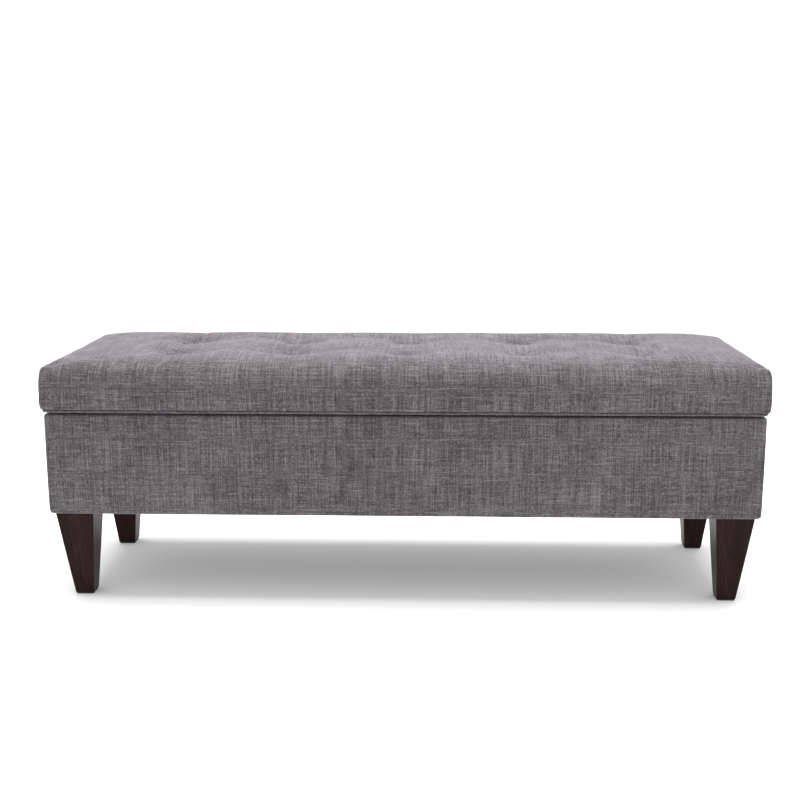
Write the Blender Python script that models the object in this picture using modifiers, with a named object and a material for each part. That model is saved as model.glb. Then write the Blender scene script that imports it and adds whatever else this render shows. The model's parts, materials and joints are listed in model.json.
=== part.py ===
"""Upholstered storage bench with a hinged, button-tufted lid on four tapered legs.

Metres, +Z up. The origin is on the floor under the middle of the bench.
X runs along the bench, the front faces -Y, and left is -X.
"""

import math

import bmesh
import bpy
from mathutils import Matrix, Vector

# ---------------------------------------------------------------- sizes, metres

GAP = 0.0003  # between pieces that touch

# Upholstered box
BODY_HALF = Vector((0.750, 0.2315))
BODY_BOTTOM = 0.190
BODY_TOP = 0.4078
COVER_THICKNESS = 0.004  # fabric with its padding
FOLD_THICKNESS = 0.0012  # bare fabric, folded over the rim and under the panels
COVER_CORNER = 0.008
COVER_EDGE = 0.004
UNDER_FOLD = 0.012
PANEL_THICKNESS = 0.015
FLOOR_BOTTOM = 0.2234
FLOOR_THICKNESS = 0.009
CLEAT_SIZE = 0.020
LINING_THICKNESS = 0.001
DUST_COVER_THICKNESS = 0.0008
DUST_COVER_MARGIN = 0.0015
DUST_COVER_NOTCH = 0.45  # of a leg's width, in from the leg's centre

# Legs and what holds them
LEG_TOP_SIZE = 0.081
LEG_FOOT_SIZE = 0.040
LEG_INSET = 0.0088
LEG_OUTER_SLOPE = 0.0256
LEG_EDGE = 0.0015
GLIDE_SIZE = 0.038
GLIDE_THICKNESS = 0.003
LEG_PLATE_SIZE = 0.056
LEG_PLATE_THICKNESS = 0.0025
CORNER_BLOCK_SIZE = 0.100
BOLT_RADIUS = 0.004
BOLT_HOLE_RADIUS = 0.0043
BOLT_BOTTOM = 0.140
BOLT_TOP = 0.216

# Lid
LID_HALF = Vector((0.762, 0.2435))
LID_BOTTOM = 0.4118
LID_LINING_THICKNESS = 0.0008
LID_LINING_MARGIN = 0.020
LID_BOARD_THICKNESS = 0.012
LID_BOARD_MARGIN = 0.014
LID_BOARD_CORNER = 0.018
LID_COVER_BOTTOM = 0.4187
LID_COVER_THICKNESS = 0.002
LID_TUCK = 0.0065  # how far the cover draws in at its lower edge
LID_WIDEST = 0.465
LID_SHOULDER = 0.502
LID_MIDDLE = 0.440
LID_CROWN = 0.029
LID_CROWN_LENGTH_POWER = 6  # the higher, the flatter the crown along that side
LID_CROWN_DEPTH_POWER = 4
LID_SLICE_X = 0.130
LID_SLICE_Y = 0.060
LID_CORNER = 0.020
LID_SHOULDER_RADIUS = 0.018
FOAM_INSET = 0.0048
PIPING_RADIUS = 0.0031
PIPING_INSET = 0.010
PIPING_HEIGHT = 0.4153
PIPING_CORNER = 0.018

# Tufting
BUTTONS_IN_ROW = 5
BUTTON_SPACING = 0.2515
BUTTON_SHIFT = 0.008  # both rows sit this far right of the lid's middle
BUTTON_ROW_OFFSET = 0.085
BUTTON_RADIUS = 0.012
BUTTON_DEPTH = 0.007
BUTTON_TOP = 0.5125
BUTTON_DOME = 0.75  # of its depth
BUTTON_BACK = 0.85  # of its radius
BUTTON_POCKET_RADIUS = 0.0135
TWINE_RADIUS = 0.0012
TWINE_HOLE_RADIUS = 0.0018
TWINE_BOTTOM = 0.4140

# Continuous hinge along the rear rim
HINGE_AXIS = Vector((0.0, 0.2351, 0.4086))
HINGE_LENGTH = 1.400
HINGE_KNUCKLES = 20
HINGE_BARREL_RADIUS = 0.0032
HINGE_BORE_RADIUS = 0.0017
HINGE_PIN_RADIUS = 0.0013
HINGE_LEAF_FRONT = 0.2140
HINGE_LEAF_THICKNESS = 0.0013
HINGE_BODY_LEAF_BOTTOM = 0.4081
HINGE_LID_LEAF_BOTTOM = 0.4102

# Lid stays. Hinge axis, base pivot, elbow and lid pivot are the corners of a parallelogram
STAY_BASE_PIVOT = Vector((0.165, 0.300))
STAY_LID_PIVOT = Vector((0.085, 0.392))
STAY_ELBOW = STAY_BASE_PIVOT + STAY_LID_PIVOT - HINGE_AXIS.yz
STAY_LAYER = 0.0025
STAY_LAYER_PITCH = STAY_LAYER + GAP
STAY_ARM_WIDTH = 0.016
STAY_PLATE_WIDTH = 0.044
STAY_PLATE_HEIGHT = 0.0572
STAY_PLATE_CORNER = 0.006
STAY_SHAFT_RADIUS = 0.004
STAY_SHAFT_HOLE = 0.0044
STAY_RIVET_RADIUS = 0.0024
STAY_RIVET_HOLE = 0.0028
STAY_RIVET_HEAD = 0.0045
STAY_RIVET_HEAD_THICKNESS = 0.001
STAY_RIVET_OVERLAP = 0.0002
STAY_DAMPER_RADIUS = 0.015
STAY_DAMPER_LENGTH = 0.012
STAY_BRACKET_LENGTH = 0.040
STAY_BRACKET_REACH = 0.028
BUMPER_RADIUS = 0.006
BUMPER_HEIGHT = 0.0032
BUMPER_X = 0.715
BUMPER_Y = -0.2200

# Where pieces meet, worked out from the sizes above
PANEL_OUT = BODY_HALF - Vector((COVER_THICKNESS + GAP, COVER_THICKNESS + GAP))
PANEL_IN = PANEL_OUT - Vector((PANEL_THICKNESS, PANEL_THICKNESS))
INSIDE = PANEL_IN - Vector((GAP, GAP))
PANEL_BOTTOM = BODY_BOTTOM + FOLD_THICKNESS + GAP
PANEL_TOP = BODY_TOP - FOLD_THICKNESS - GAP
LEG_BOTTOM = GLIDE_THICKNESS + GAP
LEG_TOP = BODY_BOTTOM - GAP
BLOCK_BOTTOM = BODY_BOTTOM + LEG_PLATE_THICKNESS + GAP
BLOCK_TOP = FLOOR_BOTTOM - GAP
LINING_BOTTOM = FLOOR_BOTTOM + FLOOR_THICKNESS + GAP
BOARD_BOTTOM = LID_BOTTOM + LID_LINING_THICKNESS + GAP
BOARD_TOP = BOARD_BOTTOM + LID_BOARD_THICKNESS
FOAM_BOTTOM = BOARD_TOP + GAP
STAY_FACE = INSIDE.x - LINING_THICKNESS - GAP

# Colour, roughness and metallic value of each finish
FINISHES = {
    "grey_linen": ((0.215, 0.200, 0.208), 0.9, 0.0),
    "dark_wood": ((0.030, 0.013, 0.012), 0.35, 0.0),
    "panel_wood": ((0.420, 0.300, 0.190), 0.7, 0.0),
    "foam": ((0.780, 0.740, 0.620), 0.9, 0.0),
    "black_cloth": ((0.020, 0.020, 0.022), 0.9, 0.0),
    "black_plastic": ((0.015, 0.015, 0.016), 0.5, 0.0),
    "black_rubber": ((0.020, 0.020, 0.020), 0.8, 0.0),
    "zinc_steel": ((0.600, 0.600, 0.590), 0.4, 0.9),
}

SIDES = (("left", -1), ("right", 1))
CORNERS = [
    (f"{depth}_{side}", sign_x, sign_y)
    for depth, sign_y in (("front", -1), ("rear", 1))
    for side, sign_x in SIDES
]

# ------------------------------------------------------------------- scene setup

for old in list(bpy.data.objects):
    bpy.data.objects.remove(old, do_unlink=True)

PARTS = bpy.data.collections.new("storage_bench")
CUTTERS = bpy.data.collections.new("cutters")
for group in (PARTS, CUTTERS):
    bpy.context.scene.collection.children.link(group)


def make_finish(name):
    """Principled material with the finish's colour, roughness and metallic value."""
    colour, roughness, metallic = FINISHES[name]
    finish = bpy.data.materials.new(name)
    finish.use_nodes = True
    shader = finish.node_tree.nodes["Principled BSDF"]
    shader.inputs["Base Color"].default_value = (*colour, 1.0)
    shader.inputs["Roughness"].default_value = roughness
    shader.inputs["Metallic"].default_value = metallic
    finish.diffuse_color = (*colour, 1.0)
    return finish


MATERIALS = {name: make_finish(name) for name in FINISHES}

# ----------------------------------------------------------------------- helpers


def axis_empty(name, location):
    """Empty that marks a joint's axis and carries the pieces that turn about it."""
    empty = bpy.data.objects.new(name, None)
    empty.location = location
    empty.empty_display_size = 0.05
    PARTS.objects.link(empty)
    return empty


def place(name, data, finish, location=(0, 0, 0), parent=None):
    """Object at a world location, carried by its parent empty if it has one."""
    piece = bpy.data.objects.new(name, data)
    piece.location = location
    if parent:
        piece.parent = parent
        piece.location -= parent.location
    data.materials.clear()
    data.materials.append(MATERIALS[finish])
    PARTS.objects.link(piece)
    return piece


def helper_solid(name, data, location=(0, 0, 0), parent=None):
    """Solid that only cuts or joins another piece."""
    solid = bpy.data.objects.new(name, data)
    solid.location = location
    if parent:
        solid.parent = parent
        solid.location -= parent.location
    solid.hide_render = True
    solid.display_type = "WIRE"
    CUTTERS.objects.link(solid)
    return solid


def to_mesh(name, bm):
    """Mesh from a bmesh, smooth across its gentle edges."""
    bmesh.ops.recalc_face_normals(bm, faces=bm.faces)
    mesh = bpy.data.meshes.new(name)
    bm.to_mesh(mesh)
    bm.free()
    mesh.shade_smooth()
    mesh.set_sharp_from_angle(angle=math.radians(35))
    return mesh


def add_box(bm, low, high):
    """Box between two corners, added to a bmesh."""
    low, high = Vector(low), Vector(high)
    centre = Matrix.Translation((low + high) / 2)
    return bmesh.ops.create_cube(bm, size=1, matrix=centre @ Matrix.Diagonal(high - low).to_4x4())


def add_cylinder(bm, start, end, radius, sides=16):
    """Closed cylinder between two points, added to a bmesh."""
    start, end = Vector(start), Vector(end)
    along = end - start
    turn = along.to_track_quat("Z", "Y").to_matrix().to_4x4()
    bmesh.ops.create_cone(
        bm, cap_ends=True, segments=sides, radius1=radius, radius2=radius,
        depth=along.length, matrix=Matrix.Translation((start + end) / 2) @ turn,
    )


def box_mesh(name, size, corner=0.0):
    """Box centred on its origin, with its four upright corners rounded if asked."""
    bm = bmesh.new()
    half = Vector(size) / 2
    add_box(bm, -half, half)
    if corner:
        upright = [e for e in bm.edges if abs(e.verts[0].co.z - e.verts[1].co.z) > half.z]
        bmesh.ops.bevel(bm, geom=upright, offset=corner, segments=3, profile=0.5, affect="EDGES")
    return to_mesh(name, bm)


def block(name, low, high, finish, parent=None, corner=0.0):
    """Box-shaped piece between two corners given in the bench's frame."""
    low, high = Vector(low), Vector(high)
    return place(name, box_mesh(name, high - low, corner), finish, (low + high) / 2, parent)


def boolean(piece, other, operation):
    """Cut a helper solid out of a piece, or join it on."""
    modifier = piece.modifiers.new(other.name, "BOOLEAN")
    modifier.operation = operation
    modifier.solver = "EXACT"
    modifier.object = other


def bevel(piece, width, segments=2):
    """Rounded edges."""
    modifier = piece.modifiers.new("rounded_edges", "BEVEL")
    modifier.width = width
    modifier.segments = segments
    modifier.limit_method = "ANGLE"


def turned(name, profile, finish, location, axis="Z", sides=16, parent=None):
    """Solid turned from (radius, height) points that run down its outer side."""
    bm = bmesh.new()
    ring = [bm.verts.new((radius, 0, height)) for radius, height in profile]
    for upper, lower in zip(ring, ring[1:]):
        bm.edges.new((upper, lower))
    mesh = bpy.data.meshes.new(name)
    bm.to_mesh(mesh)
    bm.free()
    piece = place(name, mesh, finish, location, parent)
    turn = {"Z": (0, 0, 0), "-X": (0, -math.pi / 2, 0), "X": (0, math.pi / 2, 0)}
    piece.rotation_euler = turn[axis]
    screw = piece.modifiers.new("turned", "SCREW")
    screw.steps = screw.render_steps = sides
    screw.use_merge_vertices = True
    screw.merge_threshold = 0.00001
    return piece


def rounded_rectangle(half, corner, steps=6):
    """Points round a rectangle with round corners, counter-clockwise."""
    points = []
    for quarter, (sign_x, sign_y) in enumerate(((1, 1), (-1, 1), (-1, -1), (1, -1))):
        centre = Vector((sign_x * (half.x - corner), sign_y * (half.y - corner)))
        for step in range(steps + 1):
            angle = (quarter + step / steps) * math.pi / 2
            points.append(centre + corner * Vector((math.cos(angle), math.sin(angle))))
    return points


def circle(centre, radius, sides=16):
    """Points round a circle."""
    turns = [2 * math.pi * side / sides for side in range(sides)]
    return [centre + radius * Vector((math.cos(turn), math.sin(turn))) for turn in turns]


def link_outline(start, end, width, steps=8):
    """Outline of a flat link with a round end about each of its two pivots."""
    along = math.atan2(end.y - start.y, end.x - start.x)
    points = []
    for centre, first in ((end, along - math.pi / 2), (start, along + math.pi / 2)):
        for step in range(steps + 1):
            angle = first + math.pi * step / steps
            points.append(centre + width / 2 * Vector((math.cos(angle), math.sin(angle))))
    return points


def plate_mesh(name, loops, thickness):
    """Flat plate from closed outlines, the inner ones being holes, welded into one solid."""
    curve = bpy.data.curves.new(name + "_outline", "CURVE")
    curve.dimensions = "2D"
    curve.fill_mode = "BOTH"
    curve.extrude = thickness / 2
    for loop in loops:
        spline = curve.splines.new("POLY")
        spline.points.add(len(loop) - 1)
        for point, (x, y) in zip(spline.points, loop):
            point.co = (x, y, 0, 1)
        spline.use_cyclic_u = True
    outline = bpy.data.objects.new(name + "_outline", curve)
    bpy.context.scene.collection.objects.link(outline)
    bpy.context.view_layer.update()
    evaluated = outline.evaluated_get(bpy.context.evaluated_depsgraph_get())
    flat = bpy.data.meshes.new_from_object(evaluated)
    bm = bmesh.new()
    bm.from_mesh(flat)
    bmesh.ops.remove_doubles(bm, verts=bm.verts, dist=0.00001)
    bpy.data.objects.remove(outline)
    bpy.data.curves.remove(curve)
    bpy.data.meshes.remove(flat)
    return to_mesh(name, bm)


# Turns a plate drawn in its own XY so that its X is along the bench's Y, and its Y is up
UPRIGHT = Matrix(((0, 0, 1, 0), (1, 0, 0, 0), (0, 1, 0, 0), (0, 0, 0, 1)))

# -------------------------------------------------------------------------- legs


def leg_centres(sign_x, sign_y):
    """Centre of a leg at its top, and centre of its foot."""
    outer = BODY_HALF - Vector((LEG_INSET, LEG_INSET))
    foot_outer = outer - Vector((LEG_OUTER_SLOPE, LEG_OUTER_SLOPE))
    top = outer - Vector((LEG_TOP_SIZE, LEG_TOP_SIZE)) / 2
    foot = foot_outer - Vector((LEG_FOOT_SIZE, LEG_FOOT_SIZE)) / 2
    mirror = Vector((sign_x, sign_y))
    return top * mirror, foot * mirror


def tapered_leg(corner, top, foot):
    """Square leg that tapers on all four faces, more on the outer two."""
    bm = bmesh.new()
    half = LEG_TOP_SIZE / 2
    add_box(bm, (-half, -half, LEG_BOTTOM), (half, half, LEG_TOP))
    taper = LEG_FOOT_SIZE / LEG_TOP_SIZE
    for vertex in bm.verts:
        if vertex.co.z < (LEG_BOTTOM + LEG_TOP) / 2:
            vertex.co.x = vertex.co.x * taper + foot.x - top.x
            vertex.co.y = vertex.co.y * taper + foot.y - top.y
    leg = place("leg_" + corner, to_mesh("leg_" + corner, bm), "dark_wood", (*top, 0))
    bevel(leg, LEG_EDGE)
    return leg


def bolt_hole(name, centre):
    """Helper solid for the hole that a leg's bolt passes through."""
    bm = bmesh.new()
    add_cylinder(bm, (0, 0, BOLT_BOTTOM - 0.002), (0, 0, FLOOR_BOTTOM + 0.002), BOLT_HOLE_RADIUS)
    return helper_solid(name, to_mesh(name, bm), (*centre, 0))


def build_leg(corner, sign_x, sign_y):
    """Leg with its glide, its bolt, its plate and the block that the bolt screws into."""
    top, foot = leg_centres(sign_x, sign_y)
    hole = bolt_hole("bolt_hole_" + corner, top)
    leg = tapered_leg(corner, top, foot)
    boolean(leg, hole, "DIFFERENCE")

    glide = box_mesh("glide_" + corner, (GLIDE_SIZE, GLIDE_SIZE, GLIDE_THICKNESS), 0.003)
    place("glide_" + corner, glide, "black_plastic", (*foot, GLIDE_THICKNESS / 2))

    bm = bmesh.new()
    length = BOLT_TOP - BOLT_BOTTOM
    add_cylinder(bm, (0, 0, -length / 2), (0, 0, length / 2), BOLT_RADIUS)
    bolt = to_mesh("hanger_bolt_" + corner, bm)
    place("hanger_bolt_" + corner, bolt, "zinc_steel", (*top, BOLT_BOTTOM + length / 2))

    plate = box_mesh("leg_plate_" + corner, (LEG_PLATE_SIZE, LEG_PLATE_SIZE, LEG_PLATE_THICKNESS), 0.004)
    height = BODY_BOTTOM + LEG_PLATE_THICKNESS / 2
    boolean(place("leg_plate_" + corner, plate, "zinc_steel", (*top, height)), hole, "DIFFERENCE")

    outer = INSIDE * Vector((sign_x, sign_y))
    inner = outer - CORNER_BLOCK_SIZE * Vector((sign_x, sign_y))
    low = (min(outer.x, inner.x), min(outer.y, inner.y), BLOCK_BOTTOM)
    high = (max(outer.x, inner.x), max(outer.y, inner.y), BLOCK_TOP)
    boolean(block("corner_block_" + corner, low, high, "panel_wood"), hole, "DIFFERENCE")


# --------------------------------------------------------------------------- box


def build_panels():
    """Front, rear and side panels, the floor and the two cleats that it rests on."""
    for name, sign in (("front", -1), ("rear", 1)):
        edges = sorted((sign * PANEL_IN.y, sign * PANEL_OUT.y))
        block(
            name + "_panel",
            (-PANEL_OUT.x, edges[0], PANEL_BOTTOM), (PANEL_OUT.x, edges[1], PANEL_TOP),
            "panel_wood",
        )
        edges = sorted((sign * (INSIDE.y - CLEAT_SIZE), sign * INSIDE.y))
        length = INSIDE.x - CORNER_BLOCK_SIZE - GAP
        block(
            name + "_cleat",
            (-length, edges[0], BLOCK_TOP - CLEAT_SIZE), (length, edges[1], BLOCK_TOP),
            "panel_wood",
        )
    for side, sign in SIDES:
        edges = sorted((sign * PANEL_IN.x, sign * PANEL_OUT.x))
        block(
            side + "_side_panel",
            (edges[0], -INSIDE.y, PANEL_BOTTOM), (edges[1], INSIDE.y, PANEL_TOP),
            "panel_wood",
        )
    floor_top = FLOOR_BOTTOM + FLOOR_THICKNESS
    block("bottom_panel", (*-INSIDE, FLOOR_BOTTOM), (*INSIDE, floor_top), "panel_wood")


def build_body_cover():
    """Padded fabric round the box, folded over the rim and under the panels."""
    height = BODY_TOP - BODY_BOTTOM
    size = (2 * BODY_HALF.x, 2 * BODY_HALF.y, height)
    centre = (0, 0, BODY_BOTTOM + height / 2)
    mesh = box_mesh("body_cover", size, COVER_CORNER)
    cover = place("body_cover", mesh, "grey_linen", centre)
    bevel(cover, COVER_EDGE)

    padded = PANEL_OUT + Vector((GAP, GAP))
    over_rim = INSIDE - Vector((GAP, GAP)) * 2
    under = BODY_HALF - Vector((UNDER_FOLD, UNDER_FOLD))
    spaces = (
        ("panel_space", padded, PANEL_BOTTOM - GAP, PANEL_TOP + GAP),
        ("rim_space", over_rim, PANEL_TOP - 0.01, BODY_TOP + 0.01),
        ("under_space", under, BODY_BOTTOM - 0.01, PANEL_BOTTOM + 0.01),
    )
    for name, half, low, high in spaces:
        space = helper_solid(name, box_mesh(name, (2 * half.x, 2 * half.y, high - low)))
        space.location.z = (low + high) / 2
        boolean(cover, space, "DIFFERENCE")


def build_linings():
    """Cloth lining of the compartment, and the dust cover under the box."""
    bm = bmesh.new()
    height = PANEL_TOP - GAP - LINING_BOTTOM
    add_box(bm, (*-INSIDE, 0), (*INSIDE, height))
    lid_side = [face for face in bm.faces if face.calc_center_median().z > height * 0.9]
    bmesh.ops.delete(bm, geom=lid_side, context="FACES_ONLY")
    mesh = to_mesh("compartment_lining", bm)
    lining = place("compartment_lining", mesh, "black_cloth", (0, 0, LINING_BOTTOM))
    shell = lining.modifiers.new("cloth", "SOLIDIFY")
    shell.thickness = LINING_THICKNESS
    shell.offset = -1
    shell.use_even_offset = True

    edge = BODY_HALF - Vector((UNDER_FOLD + DUST_COVER_MARGIN, UNDER_FOLD + DUST_COVER_MARGIN))
    notch = leg_centres(1, 1)[0] - DUST_COVER_NOTCH * Vector((LEG_TOP_SIZE, LEG_TOP_SIZE))
    outline = []
    for sign_x, sign_y in ((1, 1), (-1, 1), (-1, -1), (1, -1)):
        step = [(edge.x, notch.y), (notch.x, notch.y), (notch.x, edge.y)]
        if sign_x * sign_y < 0:
            step.reverse()
        outline += [Vector((sign_x * x, sign_y * y)) for x, y in step]
    mesh = plate_mesh("dust_cover", [outline], DUST_COVER_THICKNESS)
    height = BODY_BOTTOM + GAP + DUST_COVER_THICKNESS / 2
    place("dust_cover", mesh, "black_cloth", (0, 0, height))


# --------------------------------------------------------------------------- lid


def cushion_shape(inset, low):
    """Box cushion with a crowned top and drawn-in lower edge, some way inside the cover's face."""
    half = LID_HALF - Vector((inset, inset))
    high = LID_SHOULDER - inset
    bm = bmesh.new()
    add_box(bm, (*-half, low), (*half, high))
    upright = [e for e in bm.edges if abs(e.verts[0].co.z - e.verts[1].co.z) > 0.01]
    radius = LID_CORNER - inset
    bmesh.ops.bevel(bm, geom=upright, offset=radius, segments=3, profile=0.5, affect="EDGES")
    upper = [e for e in bm.edges if min(v.co.z for v in e.verts) > high - 0.0001]
    radius = LID_SHOULDER_RADIUS - inset
    bmesh.ops.bevel(bm, geom=upper, offset=radius, segments=3, profile=0.5, affect="EDGES")
    slices = [((i * LID_SLICE_X, 0, 0), (1, 0, 0)) for i in range(-5, 6)]
    slices += [((0, i * LID_SLICE_Y, 0), (0, 1, 0)) for i in range(-3, 4)]
    slices += [((0, 0, z), (0, 0, 1)) for z in (LID_MIDDLE, LID_WIDEST)]
    for point, normal in slices:
        everything = bm.verts[:] + bm.edges[:] + bm.faces[:]
        bmesh.ops.bisect_plane(bm, geom=everything, dist=0.000001, plane_co=point, plane_no=normal)
    for vertex in bm.verts:
        shape_cushion_point(vertex.co, half, high)
    return bm


def shape_cushion_point(point, half, high):
    """Move one point of the plain box to where the stuffed cushion has it."""
    rise = min(1.0, (point.z - LID_COVER_BOTTOM) / (LID_WIDEST - LID_COVER_BOTTOM))
    tuck = LID_TUCK * (1 - math.sin(rise * math.pi / 2))
    across = max(0.0, 1 - abs(point.x / half.x) ** LID_CROWN_LENGTH_POWER)
    across *= max(0.0, 1 - abs(point.y / half.y) ** LID_CROWN_DEPTH_POWER)
    lift = max(0.0, (point.z - LID_WIDEST) / (high - LID_WIDEST))
    point.x *= 1 - tuck / half.x
    point.y *= 1 - tuck / half.y
    point.z += LID_CROWN * across * lift


def button_places():
    """Name and centre of each tufting button."""
    for row, sign in (("front", -1), ("rear", 1)):
        for index in range(BUTTONS_IN_ROW):
            x = (index - (BUTTONS_IN_ROW - 1) / 2) * BUTTON_SPACING + BUTTON_SHIFT
            yield f"{row}_{index + 1}", x, sign * BUTTON_ROW_OFFSET


def button_holes(name, radius, low, high, parent):
    """Helper solid with an upright hole at each button."""
    bm = bmesh.new()
    for _, x, y in button_places():
        add_cylinder(bm, (x, y, low), (x, y, high), radius, sides=12)
    return helper_solid(name, to_mesh(name, bm), (0, 0, 0), parent)


def build_lid(hinge):
    """Board, foam, cover, piping and lining of the lid."""
    half = LID_HALF - Vector((LID_BOARD_MARGIN, LID_BOARD_MARGIN))
    board = block(
        "lid_board", (*-half, BOARD_BOTTOM), (*half, BOARD_TOP), "panel_wood", hinge,
        LID_BOARD_CORNER,
    )
    half = LID_HALF - Vector((LID_LINING_MARGIN, LID_LINING_MARGIN))
    lining_top = LID_BOTTOM + LID_LINING_THICKNESS
    block("lid_lining", (*-half, LID_BOTTOM), (*half, lining_top), "black_cloth", hinge)

    foam_mesh = to_mesh("lid_foam", cushion_shape(FOAM_INSET, FOAM_BOTTOM))
    foam = place("lid_foam", foam_mesh, "foam", (0, 0, 0), hinge)

    bm = cushion_shape(0.0, LID_COVER_BOTTOM)
    underside = [f for f in bm.faces if f.calc_center_median().z < LID_COVER_BOTTOM + 0.0001]
    bmesh.ops.delete(bm, geom=underside, context="FACES")
    cover = place("lid_cover", to_mesh("lid_cover", bm), "grey_linen", (0, 0, 0), hinge)
    shell = cover.modifiers.new("fabric", "SOLIDIFY")
    shell.thickness = LID_COVER_THICKNESS
    shell.offset = -1
    shell.use_even_offset = True

    twine_holes = button_holes(
        "twine_holes", TWINE_HOLE_RADIUS, BOARD_BOTTOM - 0.005, BUTTON_TOP, hinge)
    pockets = button_holes(
        "button_pockets", BUTTON_POCKET_RADIUS, BUTTON_TOP - BUTTON_DEPTH - 0.001,
        LID_SHOULDER + LID_CROWN + 0.01, hinge)
    for piece, cutters in (
        (board, (twine_holes,)), (foam, (twine_holes, pockets)), (cover, (pockets,)),
    ):
        for cutter in cutters:
            boolean(piece, cutter, "DIFFERENCE")

    build_piping(hinge)


def build_piping(hinge):
    """Covered cord sewn into the seam round the lid's lower edge."""
    curve = bpy.data.curves.new("lid_piping", "CURVE")
    curve.dimensions = "3D"
    curve.bevel_depth = PIPING_RADIUS
    curve.bevel_resolution = 2
    half = LID_HALF - Vector((PIPING_INSET, PIPING_INSET))
    route = rounded_rectangle(half, PIPING_CORNER)
    spline = curve.splines.new("POLY")
    spline.points.add(len(route) - 1)
    for point, (x, y) in zip(spline.points, route):
        point.co = (x, y, 0, 1)
    spline.use_cyclic_u = True
    place("lid_piping", curve, "grey_linen", (0, 0, PIPING_HEIGHT), hinge)


def build_buttons(hinge):
    """Covered buttons, each held down by twine through the foam and the board."""
    dome = [
        (BUTTON_RADIUS * math.sin(angle), BUTTON_DEPTH * (math.cos(angle) - 1) * BUTTON_DOME)
        for angle in (step * math.pi / 8 for step in range(5))
    ]
    shank = [
        (BUTTON_RADIUS * BUTTON_BACK, -BUTTON_DEPTH),
        (TWINE_RADIUS, -BUTTON_DEPTH),
        (TWINE_RADIUS, TWINE_BOTTOM - BUTTON_TOP),
        (0.0, TWINE_BOTTOM - BUTTON_TOP),
    ]
    for name, x, y in button_places():
        place_at = (x, y, BUTTON_TOP)
        turned("tuft_button_" + name, dome + shank, "grey_linen", place_at, sides=12, parent=hinge)


# ------------------------------------------------------------------------- hinge


def knuckle_spans(first):
    """Start and end in X of every second knuckle, starting with the given one."""
    pitch = HINGE_LENGTH / HINGE_KNUCKLES
    for index in range(first, HINGE_KNUCKLES, 2):
        start = -HINGE_LENGTH / 2 + index * pitch
        yield start, start + pitch


def hinge_leaf(name, leaf_bottom, first, parent=None):
    """Leaf with every second knuckle of the barrel, notched for the other leaf's knuckles."""
    centre_y, centre_z = HINGE_AXIS.yz
    leaf_top = leaf_bottom + HINGE_LEAF_THICKNESS
    leaf = block(
        name, (-HINGE_LENGTH / 2, HINGE_LEAF_FRONT, leaf_bottom),
        (HINGE_LENGTH / 2, centre_y, leaf_top), "zinc_steel", parent,
    )
    notches, knuckles, bore = bmesh.new(), bmesh.new(), bmesh.new()
    notch_front = centre_y - HINGE_BARREL_RADIUS - 2 * GAP
    end_trim = {-HINGE_LENGTH / 2: -0.01, HINGE_LENGTH / 2: 0.01}
    for start, end in knuckle_spans(1 - first):
        low = (start - GAP / 2 + end_trim.get(start, 0), notch_front, leaf_bottom - 0.01)
        high = (end + GAP / 2 + end_trim.get(end, 0), centre_y + 0.01, leaf_top + 0.01)
        add_box(notches, low, high)
    for start, end in knuckle_spans(first):
        add_cylinder(
            knuckles, (start + GAP / 2, centre_y, centre_z), (end - GAP / 2, centre_y, centre_z),
            HINGE_BARREL_RADIUS, sides=12,
        )
    reach = HINGE_LENGTH / 2 + 0.01
    add_cylinder(
        bore, (-reach, centre_y, centre_z), (reach, centre_y, centre_z), HINGE_BORE_RADIUS, sides=12)
    steps = (
        ("_notches", notches, "DIFFERENCE"),
        ("_knuckles", knuckles, "UNION"),
        ("_bore", bore, "DIFFERENCE"),
    )
    for suffix, bm, operation in steps:
        solid = helper_solid(name + suffix, to_mesh(name + suffix, bm), (0, 0, 0), parent)
        boolean(leaf, solid, operation)


def build_hinge(hinge):
    """Continuous hinge: a leaf on the rim, a leaf under the lid, and the pin."""
    hinge_leaf("hinge_body_leaf", HINGE_BODY_LEAF_BOTTOM, 0)
    hinge_leaf("hinge_lid_leaf", HINGE_LID_LEAF_BOTTOM, 1, hinge)
    bm = bmesh.new()
    half = HINGE_LENGTH / 2
    add_cylinder(bm, (-half, 0, 0), (half, 0, 0), HINGE_PIN_RADIUS, sides=12)
    place("hinge_pin", to_mesh("hinge_pin", bm), "zinc_steel", HINGE_AXIS)


# --------------------------------------------------------------------- lid stays


def layer_span(sign, layer):
    """Outer and inner X of a stay's layer, counted inward from the compartment's side."""
    outer = STAY_FACE - layer * STAY_LAYER_PITCH
    return sign * outer, sign * (outer - STAY_LAYER)


def stay_plate(name, loops, sign, layer, parent=None):
    """Upright flat steel piece in one of a stay's layers."""
    outer, inner = layer_span(sign, layer)
    mesh = plate_mesh(name, loops, STAY_LAYER)
    mesh.transform(UPRIGHT)
    origin = parent.location if parent else Vector((0, 0, 0))
    mesh.transform(Matrix.Translation((0, -origin.y, -origin.z)))
    piece = place(name, mesh, "zinc_steel", ((outer + inner) / 2, 0, 0))
    if parent:
        piece.parent = parent
        piece.location.x -= parent.location.x
    return piece


def rivet(name, sign, layer, pivot, parent):
    """Helper solid: a rivet from one layer through the next, with a head on its far side."""
    outer, inner = layer_span(sign, layer)
    outer = (outer + inner) / 2
    through = layer_span(sign, layer + 1)[1] - sign * GAP
    head = through - sign * STAY_RIVET_HEAD_THICKNESS
    y, z = pivot
    bm = bmesh.new()
    add_cylinder(bm, (outer, y, z), (through - sign * STAY_RIVET_OVERLAP, y, z), STAY_RIVET_RADIUS, sides=12)
    shank = helper_solid(name + "_shank", to_mesh(name + "_shank", bm), (0, 0, 0), parent)
    bm = bmesh.new()
    add_cylinder(bm, (through, y, z), (head, y, z), STAY_RIVET_HEAD, sides=12)
    cap = helper_solid(name + "_head", to_mesh(name + "_head", bm), (0, 0, 0), parent)
    return shank, cap


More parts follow.
